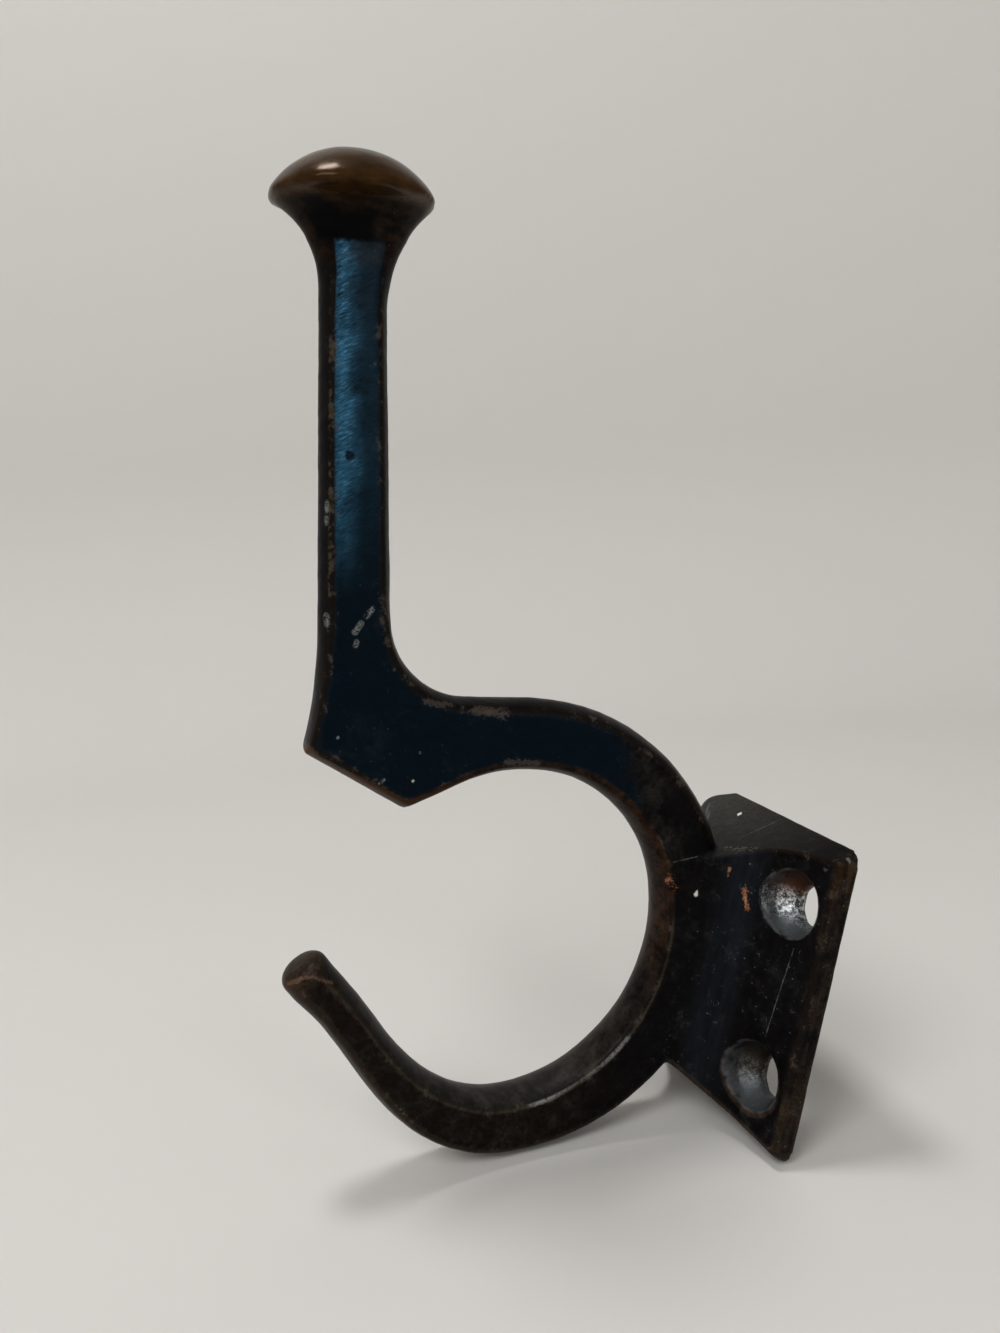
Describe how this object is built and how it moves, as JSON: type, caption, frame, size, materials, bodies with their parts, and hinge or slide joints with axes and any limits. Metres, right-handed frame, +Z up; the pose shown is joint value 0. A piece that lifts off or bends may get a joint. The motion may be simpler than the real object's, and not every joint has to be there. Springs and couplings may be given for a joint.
{
  "type": "hat and coat hook",
  "caption": "Cast wall hook: square screw plate, round lower hook with a straight end, and a tall leaning shank with a mushroom knob.",
  "frame": {"origin": "middle of the plate's back face, on the wall", "axes": "+Y into the wall, -Y out from the wall, +Z up, X from side to side of the plate"},
  "size_m": [0.037, 0.0818, 0.1173],
  "materials": {
    "hook": "old near-black lacquer over cast metal, semi-gloss, worn to brown copper colour along the edges and on the knob"
  },
  "bodies": {
    "root": {"hook": "hook"}
  },
  "joints": []
}
